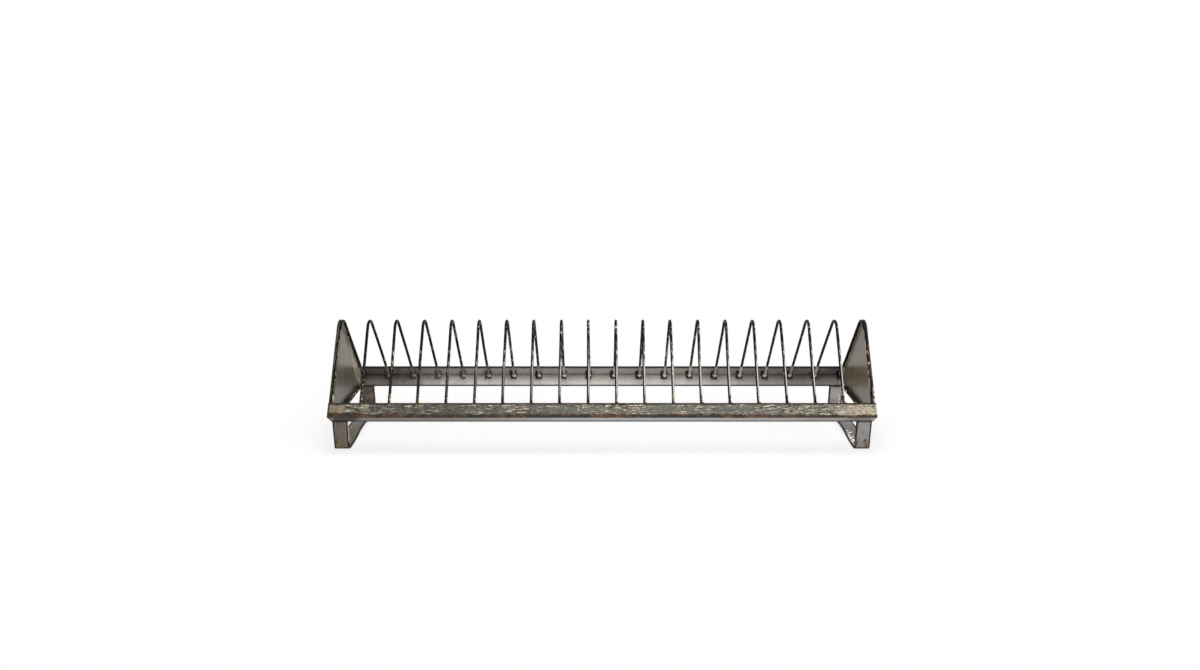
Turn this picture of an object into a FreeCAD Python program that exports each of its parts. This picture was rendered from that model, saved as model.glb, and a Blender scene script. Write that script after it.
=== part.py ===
"""A welded steel dish rack: two angle rails, wire hoops, closed end panels and strap feet.

Millimetres. +Z is up, +X runs along the rails and the front rail lies at -Y. The origin is on the floor,
under the middle of the rack. Turning the rack half a turn about Z lays it onto itself, so each back or
right-hand piece is its partner turned by half a turn.
"""
import FreeCAD, Part
import math
import os
from FreeCAD import Vector

os.makedirs("parts", exist_ok=True)

# Hoops and the slots between them
slot_pitch = 38.0
slot_count = 19
wire_diameter = 4.0
wire_sides = 12              # flats that stand for the round of a wire, a multiple of four
apex_bend_radius = 14.0      # centre line of the wire at the top of a hoop

# Rails: angle sections with the corner outwards
rack_depth = 180.0           # between the outer corners of the two rails
corner_height = 53.0         # floor to the outer corner
rail_slope = 54.2            # upper flange and hoop legs, degrees from the floor
upper_flange = 20.3
lower_flange = 23.0
rail_sheet = 2.0
rail_outer_radius = 1.2
rail_inner_radius = 0.6

# End panels and the ties along their lower edges
panel_sheet = 1.8
panel_corner_radius = 1.5
tie_diameter = 6.0

# Feet: a flat strap bent to a shallow U, standing on a flat pad at each end of an arched skid
strap_width = 21.0
strap_inset = 1.5            # from the rails' ends to the strap
strap_sheet = 2.5
strap_bend_radius = 2.0      # inside of the bend
pad_length = 14.0
arch_rise = 4.4

# Welds
seat_gap = 0.2               # root gap between welded pieces
hoop_bead_width = 2.0
hoop_bead_height = 3.2
bead_reach_gap = 1.0         # the bead stops short of the upper flange, where a torch can't reach
tack_length = 8.0
tack_leg = 1.6               # how far a tack spreads over the panel past its wire
tack_spots = (0.2, 0.5, 0.8)     # places along a hoop leg, as shares of its straight length
tie_tack_spots = (-0.25, 0.25)   # places along a tie, as shares of the rail spacing
foot_bead_radius = 1.8
foot_bead_inset = 2.0

# Sizes that follow
slope = math.radians(rail_slope)
wire_radius = wire_diameter / 2
tie_radius = tie_diameter / 2
seat = rail_sheet + seat_gap              # first free place inside a flange, measured from its outer face
axis_depth = seat + wire_radius           # hoop leg's centre line, measured from the upper flange's outer face
end_hoop_x = slot_count * slot_pitch / 2
panel_inner_x = end_hoop_x + wire_radius + seat_gap
rail_end_x = panel_inner_x + panel_sheet
tie_x = panel_inner_x - seat_gap - tie_radius
strap_outer_x = rail_end_x - strap_inset
SIDE = Vector(1, 0, 0)
UP = Vector(0, math.cos(slope), math.sin(slope))       # along the upper flange, inwards and upwards
LOW = Vector(0, math.sin(slope), -math.cos(slope))     # along the lower flange, inwards and downwards


def rail_point(x, along_upper, along_lower):
    """A point at station x, measured from the front rail's outer corner along its two flanges."""
    return Vector(x, -rack_depth / 2, corner_height) + UP * along_upper + LOW * along_lower


def across(point):
    """The matching point or direction at the back of the rack."""
    return Vector(point.x, -point.y, point.z)


def half_turn(shape):
    """The partner of a piece on the other side of the rack."""
    return shape.rotated(Vector(0, 0, 0), Vector(0, 0, 1), 180)


def polygon(points):
    """A closed wire with straight edges."""
    return Part.makePolygon(points + points[:1])


def rounded_outline(corners):
    """A closed wire through corners (point, radius), each corner cut by a tangent arc."""
    edges = []
    starts = []
    ends = []
    for i, (point, radius) in enumerate(corners):
        back = (corners[i - 1][0] - point).normalize()
        ahead = (corners[(i + 1) % len(corners)][0] - point).normalize()
        half = back.getAngle(ahead) / 2
        starts.append(point + back * (radius / math.tan(half)))
        ends.append(point + ahead * (radius / math.tan(half)))
        if radius > 0:
            middle = point + (back + ahead).normalize() * (radius / math.sin(half) - radius)
            edges.append(Part.Arc(starts[i], middle, ends[i]).toShape())
    for i in range(len(corners)):
        edges.append(Part.LineSegment(ends[i - 1], starts[i]).toShape())
    return Part.Wire(Part.__sortEdges__(edges))


def bar(outline, length):
    """A section carried along +X."""
    return Part.Face(outline).extrude(SIDE * length)


def wire_corner(centre, side, inwards, radius, number):
    """Corner of a wire's many-sided section: its flats face both directions, radius is measured to a flat."""
    turn = (number + 0.5) * 2 * math.pi / wire_sides
    reach = radius / math.cos(math.pi / wire_sides)
    return centre + (side * math.cos(turn) + inwards * math.sin(turn)) * reach


def wire_section(centre, side, inwards, radius):
    """Section of a wire as a closed wire."""
    return polygon([wire_corner(centre, side, inwards, radius, i) for i in range(wire_sides)])


def front_rail():
    """Angle section along the whole rack, rounded outside and inside its corner."""
    x = -rail_end_x
    outline = rounded_outline([
        (rail_point(x, 0, 0), rail_outer_radius),
        (rail_point(x, 0, lower_flange), 0),
        (rail_point(x, rail_sheet, lower_flange), 0),
        (rail_point(x, rail_sheet, rail_sheet), rail_inner_radius),
        (rail_point(x, upper_flange, rail_sheet), 0),
        (rail_point(x, upper_flange, 0), 0),
    ])
    return bar(outline, 2 * rail_end_x)


def leg_reach(depth):
    """Distance along the upper flange from the rail corner to the middle of the rack, at this depth."""
    return (rack_depth / 2 - depth * LOW.y) / UP.y


def leg_top():
    """Distance along the upper flange to the end of a hoop leg's straight."""
    return leg_reach(axis_depth) - apex_bend_radius * math.tan(slope)


def hoop(x):
    """Wire from the front rail up over a bend and down to the back rail, its ends cut square."""
    toe = rail_point(x, seat, axis_depth)
    bend = rail_point(x, leg_top(), axis_depth)
    centre = bend + LOW * apex_bend_radius
    crown = centre + Vector(0, 0, apex_bend_radius)
    path = Part.Wire([
        Part.LineSegment(toe, bend).toShape(),
        Part.Arc(bend, crown, across(bend)).toShape(),
        Part.LineSegment(across(bend), across(toe)).toShape(),
    ])
    return path.makePipeShell([wire_section(toe, SIDE, LOW, wire_radius)], True, False)


def end_panel():
    """Left end sheet: it follows the hoop, fits into both rails and ends level with their lower toes."""
    x = -rail_end_x
    apex = rail_point(x, leg_reach(seat), seat)
    crook = rail_point(x, seat, seat)
    toe = rail_point(x, seat, lower_flange)
    outline = rounded_outline([
        (apex, apex_bend_radius + wire_radius),
        (crook, panel_corner_radius),
        (toe, 0),
        (across(toe), 0),
        (across(crook), panel_corner_radius),
    ])
    return bar(outline, panel_sheet)


def tie_height():
    """Height of a tie's centre line, its underside level with the panel's lower edge."""
    return rail_point(0, seat, lower_flange).z + tie_radius


def end_tie():
    """Left tie rod against the panel, its ends mitred to lie on the lower flanges."""
    start = Vector(-tie_x, -rack_depth / 2, tie_height())
    rod = Part.Face(wire_section(start, SIDE, Vector(0, 0, 1), tie_radius)).extrude(Vector(0, rack_depth, 0))
    x = -tie_x - tie_diameter
    upper = rail_point(x, seat, 0)
    lower = rail_point(x, seat, 2 * lower_flange)
    return rod.common(bar(polygon([upper, lower, across(lower), across(upper)]), 2 * tie_diameter))


def strap_end(outer_y):
    """Point on a foot's front end, under the lower flange of the front rail, at this y."""
    along = (outer_y + rack_depth / 2 + seat_gap * UP.y) / LOW.y
    return rail_point(-strap_outer_x, -seat_gap, along)


def strap_side(depth):
    """Edges of one side of a foot's strap, at this depth from its outer side: leg, bend, pad, arch and back."""
    x = -strap_outer_x
    outer = strap_sheet - rail_point(0, 0, lower_flange).y
    bend = strap_bend_radius + strap_sheet
    pad_end = outer - bend - pad_length
    swing = (pad_end ** 2 + arch_rise ** 2) / (4 * arch_rise)    # radius of the arch's three tangent arcs
    turn = math.asin(pad_end / 2 / swing)

    def arc(y, z, radius, first, last):
        """Arc about (y, z) between two angles, counted from straight down towards +Y."""
        angles = (first, (first + last) / 2, last)
        points = [Vector(x, y + radius * math.sin(a), z - radius * math.cos(a)) for a in angles]
        return Part.Arc(*points).toShape()

    top = strap_end(depth - outer)
    front = [
        Part.LineSegment(top, Vector(x, depth - outer, bend)).toShape(),
        arc(bend - outer, bend, bend - depth, -math.pi / 2, 0),
        Part.LineSegment(Vector(x, bend - outer, depth), Vector(x, -pad_end, depth)).toShape(),
        arc(-pad_end, swing, swing - depth, 0, turn),
    ]
    crown = arc(0, arch_rise - swing, swing + depth, math.pi + turn, math.pi - turn)
    back = [edge.mirror(Vector(0, 0, 0), Vector(0, 1, 0)) for edge in front]
    return front + [crown] + back


def foot():
    """Left foot: the strap's outer and inner sides joined under the flanges and carried across its width."""
    inner = -rail_point(0, 0, lower_flange).y
    outer_end = strap_end(-inner - strap_sheet)
    inner_end = strap_end(-inner)
    ends = [
        Part.LineSegment(outer_end, inner_end).toShape(),
        Part.LineSegment(across(outer_end), across(inner_end)).toShape(),
    ]
    edges = strap_side(0) + strap_side(strap_sheet) + ends
    return bar(Part.Wire(Part.__sortEdges__(edges)), strap_width)


def hoop_bead(x):
    """Fillet of weld round a front hoop leg, standing on the lower flange and open towards the upper one."""
    base = rail_point(x, rail_sheet, axis_depth)
    top = base + UP * hoop_bead_height
    wide = wire_section(base, SIDE, LOW, wire_radius + hoop_bead_width)
    cone = Part.makeLoft([wide, wire_section(top, SIDE, LOW, wire_radius)], True, True)
    leg = Part.Face(wire_section(base, SIDE, LOW, wire_radius)).extrude(UP * upper_flange)
    left = x - slot_pitch / 2
    shadow = polygon([
        rail_point(left, 0, 0),
        rail_point(left, 0, rail_sheet + bead_reach_gap),
        rail_point(left, upper_flange, rail_sheet + bead_reach_gap),
        rail_point(left, upper_flange, 0),
    ])
    corner = Vector(-panel_inner_x, -rack_depth / 2, 0)
    between_panels = Part.makeBox(2 * panel_inner_x, rack_depth, 2 * corner_height, corner)
    return cone.cut([leg, bar(shadow, slot_pitch)]).common(between_panels)


def tack(start, run, inwards, radius):
    """Fillet of weld between the left panel and a wire that has its axis at start and runs along run."""
    to_panel = -SIDE
    fillet = [wire_corner(start, to_panel, inwards, radius, i) for i in range(wire_sides // 4)]
    panel = start + to_panel * (radius + seat_gap)
    root = panel + inwards * (fillet[0] - start).dot(inwards)
    outline = polygon([root] + fillet + [panel + inwards * (radius + tack_leg)])
    return Part.Face(outline).extrude(run * tack_length)


def panel_tacks():
    """Tacks that hold the left panel to its hoop's legs and to its tie."""
    beads = []
    for share in tack_spots:
        spot = rail_point(-end_hoop_x, seat + share * (leg_top() - seat), axis_depth)
        beads.append(tack(spot, UP, LOW, wire_radius))
        beads.append(tack(across(spot), across(UP), across(LOW), wire_radius))
    for share in tie_tack_spots:
        spot = Vector(-tie_x, share * rack_depth - tack_length / 2, tie_height())
        beads.append(tack(spot, Vector(0, 1, 0), Vector(0, 0, 1), tie_radius))
    return beads


def foot_bead():
    """Weld inside the left foot's front leg, rounded between the strap and the flange's toe."""
    joint = rail_point(-strap_outer_x + foot_bead_inset, 0, lower_flange)
    down = Vector(0, 0, -1)
    low = joint + down * foot_bead_radius
    middle = joint + (down + UP).normalize() * foot_bead_radius
    high = joint + UP * foot_bead_radius
    outline = Part.Wire([
        Part.LineSegment(joint, low).toShape(),
        Part.Arc(low, middle, high).toShape(),
        Part.LineSegment(high, joint).toShape(),
    ])
    return bar(outline, strap_width - 2 * foot_bead_inset)


def save(name, *solids):
    """One STEP file per named piece, a group of like pieces as separate solids."""
    shape = solids[0] if len(solids) == 1 else Part.makeCompound(list(solids))
    shape.exportStep("parts/" + name + ".step")


stations = [(i - slot_count / 2) * slot_pitch for i in range(slot_count + 1)]
rail = front_rail()
save("front_rail", rail)
save("back_rail", half_turn(rail))

save("end_hoop_left", hoop(stations[0]))
save("end_hoop_right", hoop(stations[-1]))
for number, x in enumerate(stations[1:-1], start=1):
    save("hoop_%02d" % number, hoop(x))

save("end_panel_left", end_panel())
save("end_panel_right", half_turn(end_panel()))
save("end_tie_left", end_tie())
save("end_tie_right", half_turn(end_tie()))
save("foot_left", foot())
save("foot_right", half_turn(foot()))

front_beads = [hoop_bead(x) for x in stations]
save("front_hoop_welds", *front_beads)
save("back_hoop_welds", *[half_turn(bead) for bead in front_beads])
left_tacks = panel_tacks()
save("panel_tack_welds", *left_tacks, *[half_turn(bead) for bead in left_tacks])
front_left = foot_bead()
front_right = front_left.mirror(Vector(0, 0, 0), SIDE)
save("foot_welds", front_left, front_right, half_turn(front_left), half_turn(front_right))
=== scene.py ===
"""A distressed steel dish rack: round wire hoops between two bent rails, closed ends and strap feet.

Metres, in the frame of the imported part: +X along the rails, +Y to the back, +Z up, the floor at z = 0.
Half a turn about Z lays the rack onto itself, so each back or right-hand piece is its partner turned.
"""
import math

import bpy
import numpy as np
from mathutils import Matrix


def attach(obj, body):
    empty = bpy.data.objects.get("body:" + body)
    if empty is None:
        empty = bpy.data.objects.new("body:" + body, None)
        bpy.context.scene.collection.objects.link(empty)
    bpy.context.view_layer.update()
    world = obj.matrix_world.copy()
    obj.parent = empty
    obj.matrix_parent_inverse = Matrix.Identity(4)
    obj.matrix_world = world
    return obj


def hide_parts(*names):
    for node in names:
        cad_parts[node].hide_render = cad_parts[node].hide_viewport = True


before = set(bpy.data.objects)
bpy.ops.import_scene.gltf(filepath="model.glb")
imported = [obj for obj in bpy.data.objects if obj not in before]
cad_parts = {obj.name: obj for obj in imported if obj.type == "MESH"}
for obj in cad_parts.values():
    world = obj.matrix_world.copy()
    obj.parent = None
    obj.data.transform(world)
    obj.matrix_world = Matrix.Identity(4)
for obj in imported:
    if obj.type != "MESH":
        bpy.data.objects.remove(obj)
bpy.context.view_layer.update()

MM = 0.001

# Sizes of the rack
SLOT_PITCH = 38.0 * MM
SLOTS = 19
WIRE_RADIUS = 2.0 * MM
APEX_RADIUS = 14.0 * MM        # centre line of the wire at the top of a hoop
RACK_DEPTH = 180.0 * MM        # between the outer corners of the rails
CORNER_HEIGHT = 53.0 * MM
SLOPE = math.radians(54.2)     # upper flanges and hoop legs, from the floor
UPPER_FLANGE = 20.3 * MM
LOWER_FLANGE = 23.0 * MM
RAIL_SHEET = 2.0 * MM
RAIL_OUTER_RADIUS = 1.2 * MM
RAIL_INNER_RADIUS = 0.6 * MM
PANEL_SHEET = 1.8 * MM
TIE_RADIUS = 3.0 * MM
STRAP_WIDTH = 21.0 * MM
STRAP_INSET = 1.5 * MM         # from the rails' ends to the strap
STRAP_SHEET = 2.5 * MM
STRAP_BEND = 2.0 * MM          # inside of the bend
PAD_LENGTH = 14.0 * MM
ARCH_RISE = 4.4 * MM
SEAT_GAP = 0.2 * MM

# Rounding and hand work on the pieces
TOE_RADIUS = 0.5 * MM
END_RADIUS = 0.35 * MM
STRAP_EDGE_RADIUS = 0.7 * MM
PANEL_EDGE_RADIUS = 0.5 * MM
PANEL_CROOK_RADIUS = 1.5 * MM  # where a panel reaches into the rails' inner corners
EDGE_RUN = 0.25 * MM           # length of the short faces beside a rounded edge
RELIEF = 0.12 * MM             # depth of hammer and grinder marks on sheet and strap
WIRE_RELIEF = 0.05 * MM
HOOP_SWAY = 0.35 * MM          # most that each of a hoop's three waves strays sideways
SKIN = 0.03 * MM               # how far the drawn wires and rails lie inside their solids
WIRE_SIDES = 24
FAR = 1.0                      # stored on a rail's outer faces, which lie away from the inner corner

# Sizes of the welds
FRONT_COLLAR = 2.0 * MM        # width of a bead round a hoop's front leg
BACK_COLLAR = 1.2 * MM
COLLAR_HEIGHT = 3.3 * MM
COLLAR_SUNK = 0.15 * MM        # how far a bead reaches into its wire
COLLAR_GAP = 0.02 * MM         # between a bead and the upper flange
RIPPLE = 1.5 * MM              # from one ripple of a weld to the next

# Places that follow from the sizes
COS, SIN = math.cos(SLOPE), math.sin(SLOPE)
SEAT = RAIL_SHEET + SEAT_GAP
AXIS_DEPTH = SEAT + WIRE_RADIUS
STATIONS = (np.arange(SLOTS + 1) - SLOTS / 2) * SLOT_PITCH
PANEL_INNER_X = STATIONS[-1] + WIRE_RADIUS + SEAT_GAP
RAIL_END_X = PANEL_INNER_X + PANEL_SHEET
TIE_X = PANEL_INNER_X - SEAT_GAP - TIE_RADIUS
TIE_HEIGHT = CORNER_HEIGHT + SEAT * SIN - LOWER_FLANGE * COS + TIE_RADIUS
STRAP_X = RAIL_END_X - STRAP_INSET - STRAP_WIDTH / 2


def rail_place(upper, lower):
    """Point (y, z) reached from the front rail's outer corner along its upper and lower flanges."""
    upper, lower = np.asarray(upper, float), np.asarray(lower, float)
    return np.stack([
        -RACK_DEPTH / 2 + upper * COS + lower * SIN,
        CORNER_HEIGHT + upper * SIN - lower * COS,
    ], axis=-1)


def leg_reach(depth):
    """Distance along the upper flange from the rail's corner to the middle of the rack, at this depth."""
    return (RACK_DEPTH / 2 - depth * SIN) / COS


LEG_TOP = leg_reach(AXIS_DEPTH) - APEX_RADIUS * math.tan(SLOPE)


# Shapes

def rounded_outline(corners, radii, spacing, steps=5):
    """Closed outline (n, 2): each corner is an arc tangent to its two sides, each side is cut into runs.

    An arc starts and ends radius / tan(half angle) from its corner, about a centre radius / sin(half angle)
    away along the bisector. The outline starts in the middle of the first arc.
    """
    corners = np.asarray(corners, float)
    runs = []
    for i, (point, radius) in enumerate(zip(corners, radii)):
        back = corners[i - 1] - point
        ahead = corners[(i + 1) % len(corners)] - point
        back, ahead = back / np.linalg.norm(back), ahead / np.linalg.norm(ahead)
        half = math.acos(np.clip(back @ ahead, -1, 1)) / 2
        bisector = (back + ahead) / np.linalg.norm(back + ahead)
        centre = point + bisector * radius / math.sin(half)
        sweep = math.pi / 2 - half
        turn = np.linspace(-sweep, sweep, steps + 1)[:, None]
        side = ahead - bisector * (ahead @ bisector)
        side = side / np.linalg.norm(side)
        runs.append(centre + radius * (side * np.sin(turn) - bisector * np.cos(turn)))
    outline = []
    for i, arc in enumerate(runs):
        start, stop = arc[-1], runs[(i + 1) % len(runs)][0]
        length = np.linalg.norm(stop - start)
        tight = min(EDGE_RUN, length / 4)
        count = max(2, int(round((length - 2 * tight) / spacing)) + 1)
        share = np.linspace(tight, length - tight, count)[:, None] / length
        outline += [arc, start + (stop - start) * share]
    return np.roll(np.concatenate(outline), -((steps + 1) // 2), axis=0)


def inward(outline):
    """Unit normals of a closed outline (n, 2), pointing into it."""
    after = np.roll(outline, -1, axis=0)
    along = after - np.roll(outline, 1, axis=0)
    along = along / np.linalg.norm(along, axis=1, keepdims=True)
    area = np.sum(outline[:, 0] * after[:, 1] - outline[:, 1] * after[:, 0])
    return np.stack([-along[:, 1], along[:, 0]], axis=1) * np.sign(area)


def outline_distance(outline):
    """Distance round a closed outline at each point and back at the first, measured from half way round."""
    steps = np.linalg.norm(np.roll(outline, -1, axis=0) - outline, axis=1)
    distance = np.concatenate([[0], np.cumsum(steps)])
    return distance - distance[-1] / 2


def relief(along, across, wavelength, seed):
    """Random relief between 0 and 1 at each distance along and across, all but the last across.

    It is the mean of nine plane waves of about this wavelength, stretched by 2.2 and clipped.
    """
    draw = np.random.default_rng(seed)
    turn, phase = draw.uniform(0, 2 * math.pi, (2, 9))
    wave = 2 * math.pi / wavelength * draw.uniform(0.6, 1.5, 9)
    along, across = along[:, None, None], across[None, :-1, None]
    angle = along * wave * np.cos(turn) + across * wave * np.sin(turn) + phase
    return 0.5 + 0.5 * np.clip(np.sin(angle).mean(axis=-1) * 2.2, -1, 1)


def follow(start, heading, runs):
    """Path (n, 2) of straight and bent runs, with its headings and distances.

    A run is (length, turn, divisions). Along a bend of radius R = length / turn the heading h grows evenly
    and the point moves by R (sin h - sin h0, cos h0 - cos h).
    """
    points, headings, distances = [np.array([start], float)], [[heading]], [[0.0]]
    for length, turn, divisions in runs:
        share = np.arange(1, divisions + 1) / divisions
        now = heading + turn * share
        if turn:
            swing = [np.sin(now) - math.sin(heading), math.cos(heading) - np.cos(now)]
            step = length / turn * np.stack(swing, axis=1)
        else:
            step = length * share[:, None] * np.array([math.cos(heading), math.sin(heading)])
        points.append(points[-1][-1] + step)
        distances.append(distances[-1][-1] + length * share)
        headings.append(now)
        heading = heading + turn
    return np.concatenate(points), np.concatenate(headings), np.concatenate(distances)


def end_rounding(ends, radius, steps=3):
    """Rings of a quarter-round at both ends of a bar: places at either end, and how far each is inset."""
    turn = np.linspace(math.pi / 2, 0, steps + 1)
    near = ends[0] + radius * (1 - np.sin(turn))
    far = ends[1] - radius * (1 - np.sin(turn[::-1]))
    inset = radius * (1 - np.cos(turn))
    return near, far, inset


def as_made(rings):
    """The rings where they are, at the front or the left of the rack."""
    return rings


def half_turn(rings):
    """The same rings on the other side of the rack, turned by half a turn about Z."""
    return rings * np.array([-1.0, -1.0, 1.0])


def both_sides(rings):
    """These rings and the same on the other side of the rack."""
    return np.concatenate([rings, half_turn(rings)])


def solid(name, rings, along, across, edge=None, weld=None):
    """Closed mesh from rings of points, shaped (..., rings, points, 3).

    Quads join each ring to the next and a flat face closes each end. The UV map holds the two distances in
    metres: along the piece, one for each ring, and across it, one for each point and one more back at the
    first. The attributes edge and weld hold each point's distance from the nearest worn edge and from the
    nearest weld. For a rail, weld is the distance from the inner corner, where the hoops are welded.
    """
    rings = np.asarray(rings, float)
    rows, columns = rings.shape[-3:-1]
    points = rings.reshape(-1, 3)
    bodies = np.arange(len(points)).reshape(-1, rows, columns)
    after = np.roll(bodies, -1, axis=2)
    quads = np.stack([bodies[:, :-1], after[:, :-1], after[:, 1:], bodies[:, 1:]], axis=-1).reshape(-1, 4)
    caps = np.concatenate([bodies[:, 0, ::-1], bodies[:, -1]])
    flat = np.stack(np.meshgrid(along, across, indexing="ij"), axis=-1)
    quad_uv = np.stack([flat[:-1, :-1], flat[:-1, 1:], flat[1:, 1:], flat[1:, :-1]], axis=2)
    quad_uv = np.broadcast_to(quad_uv, (len(bodies),) + quad_uv.shape).reshape(-1, 4, 2)
    cap_uv = np.concatenate([
        np.broadcast_to(flat[0, -2::-1], (len(bodies), columns, 2)),
        np.broadcast_to(flat[-1, :-1], (len(bodies), columns, 2)),
    ])
    a, b, c, d = (points[quads[:, i]] for i in range(4))
    volume = np.sum(np.cross(b - a, c - a) * a) + np.sum(np.cross(c - a, d - a) * a)
    if volume < 0:
        quads, caps = quads[:, ::-1], caps[:, ::-1]
        quad_uv, cap_uv = quad_uv[:, ::-1], cap_uv[:, ::-1]
    mesh = bpy.data.meshes.new(name)
    mesh.from_pydata(points.tolist(), [], quads.tolist() + caps.tolist())
    smooth = np.arange(len(quads) + len(caps)) < len(quads)
    mesh.polygons.foreach_set("use_smooth", smooth)
    layer = mesh.uv_layers.new(name="flat")
    layer.uv.foreach_set("vector", np.concatenate([quad_uv.ravel(), cap_uv.ravel()]))
    for label, values in (("edge", edge), ("weld", weld)):
        if values is not None:
            values = np.broadcast_to(values, rings.shape[:-1]).astype(np.float32).ravel()
            mesh.attributes.new(label, "FLOAT", "POINT").data.foreach_set("value", values)
    mesh.update()
    piece = bpy.data.objects.new(name, mesh)
    bpy.context.scene.collection.objects.link(piece)
    return piece


# Pieces

def rail_section(inset):
    """Section of a rail as distances along its upper and lower flanges from the outer corner, less inset.

    The outline starts in the inner corner and goes round by the lower flange's toe, the outer corner and
    the upper flange's toe.
    """
    inner, upper, lower = RAIL_SHEET - inset, UPPER_FLANGE - inset, LOWER_FLANGE - inset
    inside = [(inner, inner), (inner, lower)]
    outside = [(inset, lower), (inset, inset), (upper, inset), (upper, inner)]
    tight = TOE_RADIUS - inset
    radii = [RAIL_INNER_RADIUS + inset, tight, tight, RAIL_OUTER_RADIUS - inset, tight, tight]
    return rounded_outline(inside + outside, radii, spacing=1.6 * MM)


def rail_rings(seed):
    """Front rail: the section carried along X, with rounded ends and hammer marks pressed into its faces.

    Distances across are counted from the outer corner, upwards. Besides them come the distances from the
    nearest toe and, on the inner faces, from the inner corner.
    """
    near, far, inset = end_rounding((SKIN - RAIL_END_X, RAIL_END_X - SKIN), END_RADIUS)
    middle = np.linspace(near[-1], far[0], 366)[1:-1]
    along = np.concatenate([near, middle, far])
    shrink = np.concatenate([inset, np.zeros(len(middle)), inset[::-1]])
    full = rail_section(0)
    across = outline_distance(full)
    across = across - across[np.argmin(full.sum(axis=1))]
    sections = {value: rail_section(value) for value in np.unique(shrink)}
    outline = np.stack([sections[value] for value in shrink])
    marks = relief(along, across, 11 * MM, seed) * 0.6 + relief(along, across, 45 * MM, seed + 1) * 0.4
    outline = outline + inward(full)[None] * (SKIN + marks * RELIEF)[..., None]
    places = rail_place(outline[..., 0], outline[..., 1])
    rings = np.concatenate([np.broadcast_to(along[:, None, None], marks.shape + (1,)), places], axis=-1)
    toe = np.where(full[:, 0] > full[:, 1], UPPER_FLANGE - full[:, 0], LOWER_FLANGE - full[:, 1])
    inside = full.min(axis=1) > RAIL_SHEET / 2
    crook = np.where(inside, np.hypot(full[:, 0] - RAIL_SHEET, full[:, 1] - RAIL_SHEET), FAR)
    return rings, along, across, toe, crook


def hoop_rings(x, seed):
    """Round wire bent to a hoop: circles of radius WIRE_RADIUS about a path of leg, bend and leg.

    The wire strays sideways by up to about a millimetre between its toes, as a hand-bent wire does.
    """
    leg = LEG_TOP - SEAT
    bend = 2 * SLOPE * APEX_RADIUS
    lip = END_RADIUS
    runs = [(lip, 0, 3), (leg - lip, 0, 48), (bend, -2 * SLOPE, 28), (leg - lip, 0, 48), (lip, 0, 3)]
    path, heading, along = follow(rail_place(SEAT, AXIS_DEPTH), SLOPE, runs)
    length = along[-1]
    draw = np.random.default_rng(seed)
    sway = draw.uniform(-HOOP_SWAY, HOOP_SWAY, 3)
    share = along / length
    stray = sum(size * np.sin(math.pi * (k + 1) * share) for k, size in enumerate(sway))
    turn = np.linspace(0, 2 * math.pi, WIRE_SIDES + 1)
    ends = np.minimum(along, length - along)
    taper = np.where(ends < lip, lip - np.sqrt(np.maximum(lip ** 2 - (lip - ends) ** 2, 0)), 0)
    marks = relief(along, WIRE_RADIUS * turn, 6 * MM, seed + 50)
    radius = (WIRE_RADIUS - SKIN - taper)[:, None] - WIRE_RELIEF * marks
    outwards = np.stack([-np.sin(heading), np.cos(heading)], axis=1)
    side = radius * np.cos(turn[None, :-1])
    out = radius * np.sin(turn[None, :-1])
    rings = np.stack([
        x + stray[:, None] + side,
        path[:, None, 0] + out * outwards[:, None, 0],
        path[:, None, 1] + out * outwards[:, None, 1],
    ], axis=-1)
    return rings, along, WIRE_RADIUS * turn, ends[:, None]


def panel_rings():
    """Left end panel: its outline drawn in to the middle over both faces, and round over the sheet's edge.

    Ring k of a face is middle + share (outline - middle). At the edge the outline moves in by r (1 - cos t)
    while it crosses the sheet's thickness, a quarter-round on each side.
    """
    apex = rail_place(leg_reach(SEAT), SEAT)
    crook, toe = rail_place(SEAT, SEAT), rail_place(SEAT, LOWER_FLANGE)
    mirror = np.array([-1.0, 1.0])
    corners = [apex, crook, toe, toe * mirror, crook * mirror]
    low_radii = [PANEL_CROOK_RADIUS, PANEL_EDGE_RADIUS]
    radii = [APEX_RADIUS + WIRE_RADIUS] + low_radii + low_radii[::-1]
    outline = rounded_outline(corners, radii, spacing=2.5 * MM, steps=17)
    normal = inward(outline)
    middle = outline.mean(axis=0)
    shares = np.array([0.02, 0.08, 0.16, 0.25, 0.35, 0.45, 0.55, 0.64, 0.72, 0.79, 0.85, 0.9, 0.94, 0.97])
    turn = np.linspace(0, math.pi / 2, 5)
    inset = PANEL_EDGE_RADIUS * (1 - np.sin(turn))
    rise = PANEL_EDGE_RADIUS * (1 - np.cos(turn))
    rim = outline[None] + normal[None] * PANEL_EDGE_RADIUS
    face = middle + shares[:, None, None] * (rim - middle)
    edge_in = outline[None] + normal[None] * inset[:, None, None]
    flat = np.concatenate([face, edge_in, edge_in[::-1], face[::-1]])
    near, far = np.zeros(len(shares)), np.full(len(shares), PANEL_SHEET)
    depth = np.concatenate([near, rise, PANEL_SHEET - rise[::-1], far])
    x = np.broadcast_to((-RAIL_END_X + depth)[:, None, None], flat.shape[:2] + (1,))
    rings = np.concatenate([x, flat], axis=-1)
    run = np.roll(outline, -1, axis=0) - outline
    offset = flat[:, :, None, :] - outline
    share = np.clip((offset * run).sum(-1) / (run * run).sum(-1), 0, 1)
    edge = np.linalg.norm(offset - share[..., None] * run, axis=-1).min(axis=-1)
    along = np.concatenate([[0], np.cumsum(np.linalg.norm(np.diff(rings.mean(axis=1), axis=0), axis=1))])
    return rings, along, outline_distance(outline), edge


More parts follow.
